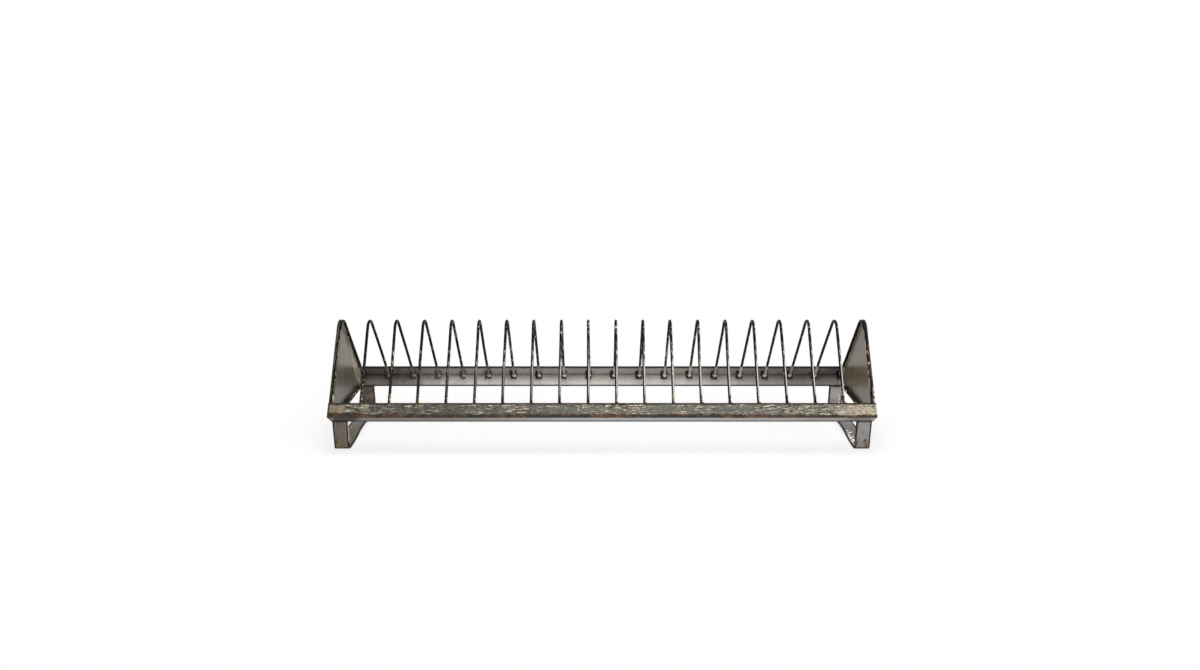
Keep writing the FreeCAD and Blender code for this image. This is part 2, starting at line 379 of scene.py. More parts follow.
def tie_rings():
    """Left tie: a round rod across the rack, each of its lines ending on the lower flanges' inner faces."""
    turn = np.linspace(0, 2 * math.pi, WIRE_SIDES + 1)
    x = -TIE_X + TIE_RADIUS * np.cos(turn[:-1])
    z = TIE_HEIGHT + TIE_RADIUS * np.sin(turn[:-1])
    reach = RACK_DEPTH / 2 - (SEAT - (z - CORNER_HEIGHT) * SIN) / COS
    share = np.linspace(-1, 1, 61)
    y = share[:, None] * reach[None, :]
    rings = np.stack(np.broadcast_arrays(x, y, z), axis=-1)
    along = share * reach.mean()
    ends = reach.mean() - np.abs(along)
    return rings, along, TIE_RADIUS * turn, ends[:, None]


def foot_rings(seed):
    """Left foot: a strap's rounded section carried down a leg, under the arched skid and up the other leg.

    The skid's arch is an arc of radius swing beside each pad and the opposite arc between them. The legs'
    tops are cut to the slope of the lower flanges that they carry.
    """
    half = STRAP_SHEET / 2
    outer = STRAP_SHEET - rail_place(0, LOWER_FLANGE)[0]
    bend = STRAP_BEND + STRAP_SHEET
    pad_end = outer - bend - PAD_LENGTH
    swing = (pad_end ** 2 + ARCH_RISE ** 2) / (4 * ARCH_RISE)
    turn = math.asin(pad_end / 2 / swing)
    top = CORNER_HEIGHT - (SEAT_GAP + (RACK_DEPTH / 2 - outer + half) * COS) / SIN
    leg = [(half, 0, 1), (top - bend - half, 0, 26)]
    corner = [((bend - half) * math.pi / 2, math.pi / 2, 10)]
    pad = [(PAD_LENGTH, 0, 12)]
    toe, crown = ((swing - half) * turn, turn, 18), ((swing + half) * 2 * turn, -2 * turn, 36)
    runs = leg + corner + pad + [toe, crown, toe] + pad + corner + leg[::-1]
    path, heading, along = follow((half - outer, top), -math.pi / 2, runs)
    width = STRAP_WIDTH / 2
    corners = [(half, width), (-half, width), (-half, -width), (half, -width)]
    section = rounded_outline(corners, [STRAP_EDGE_RADIUS] * 4, spacing=1.8 * MM)
    across = outline_distance(section)
    marks = relief(along, across, 14 * MM, seed)
    pressed = section[None] + inward(section)[None] * (marks * RELIEF)[..., None]
    upwards = np.stack([-np.sin(heading), np.cos(heading)], axis=1)
    y = path[:, None, 0] + pressed[..., 0] * upwards[:, None, 0]
    z = path[:, None, 1] + pressed[..., 0] * upwards[:, None, 1]
    under = CORNER_HEIGHT - (SEAT_GAP + (RACK_DEPTH / 2 - np.abs(y)) * COS) / SIN
    z[[0, -1]] = under[[0, -1]]
    rings = np.stack([-STRAP_X + pressed[..., 1], y, z], axis=-1)
    return rings, along, across, width - np.abs(section[:, 1])


def hoop_bead_rings(width, seed):
    """Beads round all front hoop legs: lumpy collars of about this width, flat against the upper flange.

    At share s of the way down, a collar stands out from the wire by its width times sin(pi s / 2) ** 1.4.
    Waves of 2, 3 and 5 lumps run round it, and its last ring closes it underneath.
    """
    draw = np.random.default_rng(seed)
    each = (len(STATIONS), 1, 1)
    turn = np.linspace(0, 2 * math.pi, 25)[:-1]
    share = np.array([0.0, 0.04, 0.12, 0.25, 0.4, 0.55, 0.7, 0.85, 0.95, 1.0, 1.0])
    lean, swell, phase = draw.uniform(0, 1, (3,) + each)
    lumps = 0.0
    for waves in (2, 3, 5):
        rise = draw.uniform(0.05, 0.16, each)
        lumps = lumps + rise * np.sin(waves * turn + draw.uniform(0, 6.3, each))
    size = 0.86 + 0.14 * swell + 0.12 * np.sin(turn + 6.3 * phase) + lumps
    bulge = np.sin(share * math.pi / 2) ** 1.4
    bore = WIRE_RADIUS - COLLAR_SUNK
    radius = bore + (width * bulge)[None, :, None] * size
    radius[:, -1] = bore
    up = (COLLAR_HEIGHT * (1 - share))[None, :, None] * (0.8 + 0.25 * lean + 0.8 * lumps)
    depth = np.maximum(AXIS_DEPTH + radius * np.sin(turn), RAIL_SHEET + COLLAR_GAP)
    x = STATIONS[:, None, None] + radius * np.cos(turn)
    x = np.clip(x, -PANEL_INNER_X, PANEL_INNER_X)
    places = rail_place(RAIL_SHEET + up, depth)
    rings = np.concatenate([x[..., None], places], axis=-1)
    return rings, share * COLLAR_HEIGHT, np.append(turn, 2 * math.pi) * WIRE_RADIUS


def blob_rings(starts, run, out, lift, length, size, seed):
    """Short weld runs: an ellipse carried along each run, swelling and rippling, and closed at its ends.

    Run, out and lift are the directions of the run and of the ellipse's axes, for each run or for all.
    At share s of the length the section is sin(pi s) ** 0.5 of its full size, with ripples along the run.
    """
    draw = np.random.default_rng(seed)
    share = np.linspace(0.004, 0.996, 25)
    turn = np.linspace(0, 2 * math.pi, 17)
    swell = np.sqrt(np.sin(math.pi * share))
    phase = draw.uniform(0, 6.3, (len(starts), 1))
    full = draw.uniform(0.75, 1.1, (len(starts), 1))
    ripple = full * (1 + 0.12 * np.sin(2 * math.pi * share * length / RIPPLE + phase))
    radius = (size * swell * ripple)[..., None]
    side = radius * np.cos(turn[:-1])
    high = radius * np.sin(turn[:-1])
    rings = (starts[:, None, None] + run[:, None, None] * (length * (share - 0.5))[None, :, None, None]
             + out[:, None, None] * side[..., None] + lift[:, None, None] * high[..., None])
    return rings, share * length, size * turn


def tack_rings(seed):
    """Tacks that hold the left panel to its hoop's legs and to its tie."""
    shares, tie_shares = np.array([0.2, 0.5, 0.8]), np.array([-0.25, 0.25])
    on_leg = rail_place(SEAT + shares * (LEG_TOP - SEAT), AXIS_DEPTH + WIRE_RADIUS * 0.9)
    x = -PANEL_INNER_X + 0.7 * MM
    front = np.column_stack([np.full(3, x), on_leg])
    tie_top = TIE_HEIGHT + TIE_RADIUS * 0.9
    on_tie = np.column_stack([np.full(2, x), tie_shares * RACK_DEPTH, np.full(2, tie_top)])
    starts = np.concatenate([front, front * np.array([1, -1, 1]), on_tie])
    run = np.array([[0, COS, SIN]] * 3 + [[0, -COS, SIN]] * 3 + [[0, 1, 0]] * 2)
    lift = np.array([[0, SIN, -COS]] * 3 + [[0, -SIN, -COS]] * 3 + [[0, 0, 1]] * 2)
    out = np.array([[0.9, 0, 0]] * 8)
    return blob_rings(starts, run, out, lift, length=8 * MM, size=1.3 * MM, seed=seed)


def foot_bead_rings(seed):
    """Welds inside the feet's front legs, where the strap meets the toe of the lower flange."""
    joint = rail_place(0.5 * MM, LOWER_FLANGE + 0.1 * MM)
    starts = np.array([[-STRAP_X, *joint], [STRAP_X, *joint]])
    run, out, lift = np.eye(3)[:, None]
    return blob_rings(starts, run, out, lift, length=18 * MM, size=1.4 * MM, seed=seed)


def toe_tack_rings(seed):
    """Lumps of weld on the front rail's upper edge, at the right of each hoop leg."""
    edge = rail_place(UPPER_FLANGE + 0.2 * MM, RAIL_SHEET + 0.6 * MM)
    starts = np.column_stack([STATIONS[1:-1] + WIRE_RADIUS + 0.2 * MM, np.tile(edge, (SLOTS - 1, 1))])
    run, out, lift = np.array([[[0, SIN, -COS]], [[1, 0, 0]], [[0, COS, SIN]]])
    return blob_rings(starts, run, out, lift, length=4.5 * MM, size=1.3 * MM, seed=seed)


# Shader nodes

def shade(red, green, blue):
    """Linear colour of a shade given in steps of 0 to 255, as a screen shows it."""
    steps = np.array([red, green, blue]) / 255
    linear = np.where(steps <= 0.04045, steps / 12.92, ((steps + 0.055) / 1.055) ** 2.4)
    return (*linear.tolist(), 1.0)


CREAM = shade(232, 222, 196)
BUFF = shade(150, 136, 106)
RUST_ORANGE = shade(150, 98, 44)
RUST_BROWN = shade(96, 64, 34)
BURNT = shade(28, 21, 14)


class Socket:
    """A shader value that Python's operators work on: each operator adds one Math node."""

    def __init__(self, finish, link):
        self.finish = finish
        self.link = link

    def math(self, operation, first, second):
        return self.finish.node("ShaderNodeMath", {"operation": operation}, {0: first, 1: second})

    def __add__(self, other):
        return self.math("ADD", self, other)

    def __sub__(self, other):
        return self.math("SUBTRACT", self, other)

    def __rsub__(self, other):
        return self.math("SUBTRACT", other, self)

    def __mul__(self, other):
        return self.math("MULTIPLY", self, other)

    def __or__(self, other):
        """The greater of two masks."""
        return self.math("MAXIMUM", self, other)

    def __abs__(self):
        return self.math("ABSOLUTE", self, 0.0)

    __radd__ = __add__
    __rmul__ = __mul__
    __ror__ = __or__


class Finish:
    """One material: a node tree that ends in a single shader."""

    library, output = bpy.data.materials, "ShaderNodeOutputMaterial"

    def __init__(self, name):
        self.material = self.library.new(name)
        self.material.use_nodes = True
        self.tree = self.material.node_tree
        self.tree.nodes.clear()

    def node(self, kind, settings=None, inputs=None, output=0):
        """Adds a node: its settings first, then the values or links of its sockets. Returns one output."""
        made = self.tree.nodes.new(kind)
        for key, value in (settings or {}).items():
            setattr(made, key, value)
        for key, value in (inputs or {}).items():
            if isinstance(value, Socket):
                self.tree.links.new(value.link, made.inputs[key])
            else:
                made.inputs[key].default_value = value
        return Socket(self, made.outputs[output])

    def finish(self, shader):
        """Links a shader to the tree's end."""
        out = self.tree.nodes.new(self.output)
        self.tree.links.new(shader.link, out.inputs["Surface"])


class Paint(Finish):
    """A painted surface and its places in the frame: side along X, depth along Y and height along Z."""

    def __init__(self, name):
        super().__init__(name)
        self.place = self.node("ShaderNodeTexCoord", output="Object")
        self.side, self.depth, self.height = (self.part(self.place, axis) for axis in range(3))

    def part(self, vector, axis):
        """One coordinate of a vector."""
        return self.node("ShaderNodeSeparateXYZ", None, {0: vector}, output=axis)

    def flat(self):
        """The piece's own distances along and across, in metres."""
        return self.node("ShaderNodeUVMap", {"uv_map": "flat"})

    def stored(self, name):
        """A distance that the piece's points carry."""
        return self.node("ShaderNodeAttribute", {"attribute_name": name}, output="Fac")

    def noise(self, scale, detail=3.0, rough=0.6, vector=None):
        """Cloudy pattern between 0 and 1, with about this many clouds to the metre."""
        inputs = {"Vector": vector or self.place, "Scale": scale, "Detail": detail, "Roughness": rough}
        return self.node("ShaderNodeTexNoise", None, inputs)

    def streaks(self, vector, scale, shift=0.0):
        """Cloudy pattern whose scale differs along each axis."""
        drawn = {"Vector": vector, "Location": (shift, shift, shift), "Scale": scale}
        return self.noise(1.0, vector=self.node("ShaderNodeMapping", None, drawn))

    def band(self, value, low, high):
        """Smooth step: 0 below low, 1 above high, or the reverse where low is the greater."""
        rising = float(low < high)
        ends = {"Value": value, "From Min": min(low, high), "From Max": max(low, high)}
        ends.update({"To Min": 1 - rising, "To Max": rising})
        return self.node("ShaderNodeMapRange", {"interpolation_type": "SMOOTHSTEP"}, ends)

    def span(self, value, low, high):
        """Smooth step between two distances in millimetres."""
        return self.band(value, low * MM, high * MM)

    def hoop_distance(self, along):
        """Distance along the rack from the nearest hoop: hoops stand at odd multiples of half a pitch."""
        half = SLOT_PITCH / 2
        return half - along.math("PINGPONG", along, half)

    def mix(self, share, first, second):
        """A colour between two others."""
        return self.node("ShaderNodeMix", {"data_type": "RGBA"}, {0: share, 6: first, 7: second}, output=2)

    def clouded(self, dark, light):
        """Paint between two shades, clouded by handling and finely mottled."""
        tone = self.noise(26.0, 3.0, 0.55) * 0.6 + self.noise(420.0, 2.0) * 0.4
        return self.mix(self.band(tone, 0.37, 0.63), shade(*dark), shade(*light))

    def rust(self, orange):
        """Rust that wanders from burnt brown to orange, with more or less of the orange."""
        tone = self.noise(70.0) * 0.55 + self.noise(700.0, 2.0) * 0.45 + orange
        brown = self.mix(self.band(tone, 0.42, 0.54), BURNT, RUST_BROWN)
        return self.mix(self.band(tone, 0.56, 0.66), brown, RUST_ORANGE)

    def undercoat(self):
        """Cream undercoat, buff where it is soiled."""
        return self.mix(self.band(self.noise(300.0, 2.0), 0.36, 0.56), BUFF, CREAM)

    def coated(self, colour, roughness, height, depth, specular):
        """Ends the tree in a painted surface, whose colour, roughness and relief vary."""
        normal = self.node("ShaderNodeBump", None, {"Strength": 1.0, "Distance": depth, "Height": height})
        inputs = {"Base Color": colour, "Roughness": roughness, "Normal": normal}
        inputs["Specular IOR Level"] = specular
        self.finish(self.node("ShaderNodeBsdfPrincipled", None, inputs))
        return self.material


# Finish of the rails

class RailPaint(Paint):
    """Layers of the rails' finish.

    Across the sheet, 0 is the outer corner and the upper flange is positive. The face is that flange's
    outer side. Toe and crook are the distances from the nearest toe and from the inner corner.
    """

    def __init__(self):
        super().__init__("rail_paint")
        self.sheet = self.flat()
        self.along, self.across = self.part(self.sheet, 0), self.part(self.sheet, 1)
        self.toe, self.crook = self.stored("edge"), self.stored("weld")
        self.wander = self.noise(110.0)
        self.ragged = self.streaks(self.sheet, (160.0, 420.0, 1.0), 5.0)
        self.dots = self.streaks(self.sheet, (270.0, 860.0, 1.0), 3.0)
        self.patches = self.streaks(self.sheet, (16.0, 50.0, 1.0), 7.0)
        self.inner = self.band(self.crook, 0.9 * FAR, 0.1 * FAR)
        self.upper = self.span(self.across, 0, 0.8)
        self.face = self.upper * (1 - self.inner)

    def ground(self):
        """Paint: pale inside, with painted shade towards the ends and underneath at the left, dark on the
        face.
        """
        # Painted shade towards both ends of the rails, on their inner faces and on the lower flange's
        # outside.
        shaded_ends = self.span(self.wander * 80 * MM - self.side, 250, 360)
        shaded_ends = shaded_ends | (self.span(self.side, 80, 340) * 0.8)
        under = self.clouded((140, 141, 144), (157, 157, 159))
        under = self.mix(self.span(self.toe, 17, 3) * 0.45, under, shade(112, 113, 116))
        under = self.mix(shaded_ends * 0.8, under, self.clouded((101, 93, 84), (121, 113, 103)))
        # Painted shade under the lower flange, growing towards the left end.
        shade_under_left = self.clouded((63, 57, 52), (76, 69, 63))
        under = self.mix(self.band(self.side, 0.0, -0.25), under, shade_under_left)
        pale_inside = self.clouded((156, 151, 144), (178, 173, 166))
        # Inner faces at the ends, in painted shade: darker on the lower flange than on the upper.
        low = self.clouded((54, 48, 42), (80, 72, 64))
        high = self.clouded((84, 78, 72), (110, 103, 95))
        inside = self.mix(shaded_ends * 0.9, pale_inside, self.mix(self.upper, low, high))
        front = self.mix(self.band(self.side, -0.33, 0.1), shade(50, 45, 37), shade(87, 85, 78))
        front = self.mix(self.band(self.wander, 0.42, 0.7) * 0.5, front, shade(108, 106, 99))
        return self.mix(self.face, self.mix(self.inner, under, inside), front)

    def bared(self, colour):
        """Adds flecks, pits and the face's bare ends. Returns the colour, its bare and its pitted share."""
        worn = (self.patches - 0.5) * 0.35 + self.band(self.along, -0.22, -0.32) * 0.06
        worn = worn + self.band(self.along, 0.12, 0.32) * 0.04
        worn = worn + self.band(abs(self.along - 0.013), 0.055, 0.03) * 0.05
        worn = worn + self.span(self.toe, 7, 4) * 0.04 - (1 - self.face) * 0.2
        dashes = self.streaks(self.sheet, (52.0, 860.0, 1.0)) + worn
        flecks = self.band(dashes, 0.592, 0.61) * self.band(self.dots, 0.43, 0.47)
        pitted = self.streaks(self.sheet, (110.0, 560.0, 1.0), 9.0) + worn
        pits = self.band(pitted, 0.615, 0.64) * self.face
        left = self.span(self.along * -1 + (self.ragged - 0.5) * 34 * MM, 340, 344) * self.face
        end = self.band(self.along, 0.29, 0.352)
        chipped = self.streaks(self.sheet, (170.0, 760.0, 1.0), 11.0)
        right = self.band(chipped + end * 0.32, 0.60, 0.68) * self.face
        bare = flecks | left | right
        colour = self.mix(end * self.face * 0.8, colour, shade(150, 139, 124))
        colour = self.mix(bare * 0.95, colour, self.undercoat())
        colour = self.mix(left * 0.85, colour, self.clouded((80, 70, 48), (116, 102, 77)))
        colour = self.mix(right * 0.6, colour, self.clouded((116, 105, 92), (150, 138, 122)))
        return self.mix(pits * 0.85, colour, BURNT), bare, pits

    def rusted(self, colour):
        """Adds rust along the bend, the toes and the left end. Returns the colour and its rusty share."""
        thick = 4.8 * MM + self.band(self.side, -0.30, -0.335) * 1.8 * MM
        thick = thick - self.band(self.side, 0.1, 0.3) * 0.8 * MM
        bend = self.span(self.across + self.wander * 1.6 * MM, -0.6, 0.2)
        bend = bend * self.span(self.across + (self.ragged - 0.5) * 8 * MM - thick, 0.4, -0.4)
        cut = self.band(self.along * -1, RAIL_END_X - 2.6 * MM, RAIL_END_X - 1.8 * MM) * (1 - self.inner)
        reach = self.inner * (self.upper * 1.8 * MM - 0.8 * MM)
        reach = reach + (1 - self.upper) * (1 - self.inner) * 4.2 * MM
        lip = self.span(self.toe + self.wander * 0.8 * MM - reach, 3.2, 2.6)
        share = (bend | cut | lip) * self.band(self.dots, 0.70, 0.62)
        return self.mix(share * 0.95, colour, self.rust(-0.055 - lip * 0.12)), share

    def sooted_and_shaded(self, colour):
        """Adds weld soot and painted contact shadow round the feet of the hoops, fainter at the left, and
        painted shade in the inner corner.
        """
        smoke = (self.wander + self.ragged - 1) * 7 * MM
        # Weld soot and painted contact shadow beside the foot of each hoop.
        soot_and_shade = self.span(self.hoop_distance(self.along - 1.2 * MM) + smoke, 6.0, 4.0)
        soot_and_shade = soot_and_shade * self.span(self.crook + smoke, 11.5, 7.5)
        soot_and_shade = soot_and_shade * (0.95 - self.band(self.side, -0.1, -0.3) * 0.35)
        # Painted shade along the inner corner.
        crease_shade = self.span(self.crook + self.wander * 1.5 * MM, 2.2, 1.0)
        return self.mix((crease_shade * 0.5) | soot_and_shade, colour, shade(12, 9, 7))


def rail_finish():
    """Rails: dark flecked paint on the face, cream at its ends, a rusty bend, paler paint elsewhere,
    painted shade at the ends.
    """
    paint = RailPaint()
    colour, bare, pits = paint.bared(paint.ground())
    colour, rust = paint.rusted(colour)
    colour = paint.sooted_and_shaded(colour)
    roughness = 0.36 + paint.face * 0.2 + bare * 0.15 + rust * 0.2 + (paint.patches - 0.5) * 0.15
    relief_height = (1 - bare) * 0.5 + rust * paint.dots * 0.6 - pits * 0.5
    return paint.coated(colour, roughness, relief_height, 0.12 * MM, 0.35)


# Finish of the wires

def wire_highlights_and_wear(paint, colour, turn, drawn, lit_right, rod, end):
    """Painted highlight: a broken grey line right of the wires' middle, brightest half way up the front
    legs.

    The end hoops' facing sides carry painted light: olive, partly worn paint, at the left and pale at the
    right.
    """
    ahead = paint.span(paint.depth, 20, -10)
    # Where the painted highlight is brightest, half way up the front legs.
    waist = paint.span(paint.height, 126, 108) * paint.span(paint.height, 72, 82) * ahead
    streak = paint.band(turn, 1.45, 1.7) - paint.band(turn, 2.4, 2.7)
    line = streak * (0.04 + lit_right * 0.96) * paint.band(drawn + waist * 0.25, 0.48, 0.62)
    # Grey and near-white of the painted highlight.
    highlight_grey = paint.mix(waist, shade(158, 158, 156), shade(206, 204, 199))
    colour = paint.mix(line * (1 - end) * (1 - rod) * (0.7 + waist * 0.2), colour, highlight_grey)
    # Painted light on the end hoops' facing sides, and a faint painted highlight down their back legs.
    facing = paint.band(turn, 1.7, 2.0) * (1 - lit_right)
    facing = facing + paint.band(turn, 1.1, 0.8) * lit_right * paint.span(paint.height, 76, 92)
    worn_and_lit = (facing * ahead + streak * (1 - ahead) * 0.15) * paint.span(paint.height, 155, 147)
    olive = paint.clouded((84, 77, 62), (132, 124, 104))
    olive = paint.mix(lit_right, olive, shade(160, 157, 150))
    return paint.mix(worn_and_lit * end * paint.band(drawn, 0.40, 0.50), colour, olive)


def wire_finish():
    """Hoops and ties: near-black paint chipped to cream, rusty at the front toes, pale at the back ones.

    Turn is the angle round a hoop's wire from its left side, weld the distance from the nearest end. Rod
    marks both ties, tie the left one and end the end hoops.
    """
    paint = Paint("wire_paint")
    flat, weld = paint.flat(), paint.stored("weld")
    turn = abs(paint.part(flat, 1) * (1 / WIRE_RADIUS) - math.pi)
    chips, patches = paint.noise(240.0), paint.noise(36.0, 2.0, 0.5)
    drawn = paint.streaks(flat, (140.0, 520.0, 1.0))
    # The right of the rack, where painted light greys the wires and strengthens their painted highlights
    # and pale toes.
    lit_right = paint.band(paint.side, -0.27, 0.1)
    rod = paint.span(abs(paint.depth), 78, 72) * paint.span(paint.height, 54, 50)
    tie = rod * paint.band(paint.side, 0.1, -0.1)
    end = paint.span(abs(paint.side), 350, 356) * (1 - rod)
    # Painted light: the wires go from near black at the left to grey at the right, where the light falls.
    black = paint.clouded((3, 3, 2), (12, 10, 8))
    colour = paint.mix(lit_right, black, paint.clouded((5, 5, 4), (20, 19, 16)))
    colour = wire_highlights_and_wear(paint, colour, turn, drawn, lit_right, rod, end)
    right = paint.band(turn, 1.65, 2.1)
    base = paint.span(weld, 36, 28) * paint.span(paint.depth, 0, -60)
    worn = (patches - 0.5) * 0.4 + right * (0.03 + base * 0.06 + lit_right * 0.04) + tie * 0.06 - end * 0.05
    flecks = paint.band(drawn + worn, 0.645, 0.67) | paint.band(chips + worn, 0.70, 0.72)
    ragged = weld + (chips - 0.5) * 26 * MM + (patches - 0.5) * 16 * MM
    rust = paint.span(ragged, 31, 25) * base * paint.band(chips, 0.70, 0.60)
    rust = rust | (tie * paint.band(patches, 0.45, 0.55) * 0.6)
    front = right * lit_right * end * paint.span(paint.depth, 20, -10)
    rust = rust | (front * paint.band(drawn, 0.44, 0.50))
    colour = paint.mix(rust * 0.9, colour, paint.rust(-0.04))
    colour = paint.mix(flecks * 0.9, colour, paint.undercoat())
    # Pale paint at the back toes, partly a painted highlight, stronger towards the right.
    pale = paint.span(weld + (chips - 0.5) * 12 * MM, 27, 20) * paint.span(paint.depth, 0, 60)
    pale = pale * (0.3 + lit_right * 0.65) * (1 - tie)
    colour = paint.mix(pale, colour, paint.clouded((150, 147, 143), (216, 213, 209)))
    roughness = 0.34 + flecks * 0.2 + rust * 0.4
    relief_height = (1 - flecks) * 0.5 + rust * chips * 0.6
    return paint.coated(colour, roughness, relief_height, 0.1 * MM, 0.05)


# Finish of the end panels

def panel_ground(paint, left):
    """Satin grey, brushed up and down, with painted shade low on the sheet, and wiped in streaks on the
    left panel.
    """
    brushed = paint.streaks(paint.place, (40.0, 300.0, 26.0))
    wiped = paint.streaks(paint.place, (40.0, 420.0, 34.0), 4.0)
    colour = paint.clouded((95, 85, 67), (109, 98, 78))
    colour = paint.mix(paint.band(brushed, 0.45, 0.7) * 0.4, colour, shade(126, 115, 99))
    # Painted shade low on the sheet, in brushed streaks.
    streaked_shade = paint.band(brushed, 0.5, 0.36) * paint.span(paint.height, 115, 60)
    colour = paint.mix(streaked_shade * (0.6 + left * 0.25), colour, shade(70, 67, 62))
    # More painted shade low on the left panel.
    colour = paint.mix(paint.span(paint.height, 108, 70) * left * 0.6, colour, shade(80, 79, 78))
    colour = paint.mix(paint.band(wiped, 0.50, 0.64) * left * 0.5, colour, shade(136, 126, 106))
    return paint.mix(paint.band(wiped, 0.48, 0.36) * left * 0.5, colour, shade(62, 59, 53))


def panel_strip(paint, left, wander):
    """Worn strip along the back edge, wider low on the left panel, and the scratches that run along it."""
    back = (RACK_DEPTH / 2 - paint.depth) * SIN - (paint.height - CORNER_HEIGHT) * COS - SEAT
    reach = left * (2.5 * MM + paint.span(paint.height, 120, 66) * 15 * MM)
    strip = paint.span(back + wander * 6 * MM - reach, 10, 7.5)
    beside = paint.node("ShaderNodeCombineXYZ", None, {0: back, 1: paint.height})
    return strip * paint.span(paint.depth, 0, 9), paint.streaks(beside, (520.0, 70.0, 1.0))


def panel_finish():
    """End panels: satin grey, scraped to cream along the back and lower edges and burnt along the others.

    The right panel's front edge is orange with rust, and cream at its foot.
    """
    paint = Paint("panel_paint")
    edge = paint.stored("edge")
    wander, chips = paint.noise(70.0), paint.noise(330.0)
    left = paint.band(paint.side, 0.1, -0.1)
    frayed = edge + wander * 2 * MM
    lower = paint.span(paint.height, 47, 45) * paint.span(frayed, 3.4, 2.4)
    heel = paint.span(frayed, 3.6, 2.6) * paint.span(paint.height, 92, 80)
    heel = heel * paint.span(paint.depth, -40, -50) * (1 - left)
    strip, scratches = panel_strip(paint, left, wander)
    scraped = (strip * paint.band(scratches + (1 - left) * 0.07, 0.52, 0.57)) | (lower * 0.9)
    scraped = scraped | paint.band(chips + wander * 0.3, 0.845, 0.87)
    scraped = scraped | (heel * paint.band(chips, 0.40, 0.48))
    colour = panel_ground(paint, left)
    colour = paint.mix(strip * paint.band(scratches, 0.30, 0.44) * 0.85, colour, shade(140, 127, 104))
    colour = paint.mix(scraped * 0.85, colour, paint.undercoat())
    burnt = paint.span(edge + wander * 2.2 * MM, 2.7, 1.7) * (1 - lower)
    burnt = burnt * paint.band(chips, 0.68, 0.60) * (1 - heel * 0.85)
    orange = paint.span(paint.depth, 10, -10) * (1 - left)
    orange = orange * paint.span(paint.height, 150, 120) * 0.11
    colour = paint.mix(burnt * 0.97, colour, paint.rust(orange - 0.09))
    roughness = 0.3 + scraped * 0.25 + burnt * 0.4
    relief_height = (1 - scraped) * 0.5 + burnt * chips * 0.5
    return paint.coated(colour, roughness, relief_height, 0.1 * MM, 0.3)


# Finish of the feet

def strap_ground(paint, wander, right, leg, back, low):
    """Satin grey, browner at the left: skids in painted shade, stained leg bases, a blotched and a pale
    back leg.
    """
    brown = paint.clouded((102, 92, 83), (124, 113, 104))
    colour = paint.mix(right, brown, paint.clouded((141, 136, 133), (163, 157, 154)))
    colour = paint.mix(paint.band(wander, 0.54, 0.68) * 0.35, colour, shade(84, 75, 66))
    # Painted shade on the skids, which lie in the rack's shadow.
    colour = paint.mix((1 - leg) * 0.8, colour, paint.mix(right, shade(66, 59, 48), shade(82, 81, 80)))
    colour = paint.mix(back * right * 0.4, colour, shade(196, 190, 186))
    blotch = paint.band(paint.noise(55.0, 2.0), 0.48, 0.54) * back * (1 - right)
    colour = paint.mix(blotch * 0.7, colour, shade(56, 50, 45))
    stain = paint.clouded((64, 52, 34), (122, 104, 74))
    return paint.mix(low * (0.75 - right * 0.5), colour, stain)


def strap_wear(paint, right, leg, back, low):
    """How much sooner the paint chips: most on the right skid, in front, and on the right back leg."""
    chipped = (1 - leg) * right * paint.span(abs(paint.side), 356, 350)
    chipped = chipped * paint.span(paint.depth, -8, -30) * paint.span(paint.depth, -68, -64)
    scuffed = (1 - leg) * (1 - right) * paint.span(paint.depth, -38, -24)
    nicked = back * right * paint.span(paint.side, 353, 358) * paint.span(paint.height, 32, 22)
    return chipped * 0.17 + scuffed * 0.05 + low * 0.03 + nicked * 0.24 - leg * right * 0.1


def strap_finish():
    """Feet: satin grey with dark rims, rust spots and painted shade near the floor, and cream or, at the
    right, white chips.

    The inner edges of the left foot's legs carry a cream line, partly rubbed paint and partly a painted
    edge highlight.
    """
    paint = Paint("strap_paint")
    edge = paint.stored("edge")
    wander, chips = paint.noise(85.0), paint.noise(290.0)
    right = paint.band(paint.side, -0.1, 0.1)
    outer = paint.span(abs(paint.depth), 70, 71)
    leg = paint.span(paint.height, 8, 11) | outer
    back = paint.span(paint.depth, 50, 60) * leg
    low = paint.span(paint.height - wander * 26 * MM, 4, -6) * leg
    flecks = paint.band(chips + strap_wear(paint, right, leg, back, low), 0.675, 0.70)
    bare = paint.mix(right, paint.undercoat(), shade(248, 246, 241))
    colour = paint.mix(flecks * 0.9, strap_ground(paint, wander, right, leg, back, low), bare)
    spots = paint.band(paint.noise(250.0) + 0.05 + right * 0.03, 0.60, 0.64)
    spots = spots * paint.span(paint.height - wander * 20 * MM, 12, 0) * leg
    rim = paint.span(edge + wander * 0.8 * MM, 3.1, 2.5)
    # Painted shade at the foot of the legs' outer faces, coloured as rust.
    sole_shade = paint.span(paint.height + wander * 1.2 * MM, 4.4, 3.4) * outer
    rust = spots | ((rim | sole_shade) * paint.band(chips, 0.74, 0.68))
    colour = paint.mix(rust * 0.95, colour, paint.rust(spots * 0.16 - 0.11))
    # Cream line on the left foot's inner edges: partly rubbed paint, partly a painted edge highlight.
    worn_and_lit = paint.span(edge, 0.6, 0.4) * paint.span(abs(paint.side), 348, 345) * (1 - right)
    worn_and_lit = worn_and_lit * paint.span(paint.height, 9, 14) * paint.band(chips, 0.38, 0.46)
    colour = paint.mix(worn_and_lit * 0.85, colour, CREAM)
    roughness = 0.38 + flecks * 0.2 + rust * 0.4
    relief_height = (1 - flecks) * 0.5 + rust * chips * 0.6
    return paint.coated(colour, roughness, relief_height, 0.1 * MM, 0.35)


# Finish of the welds

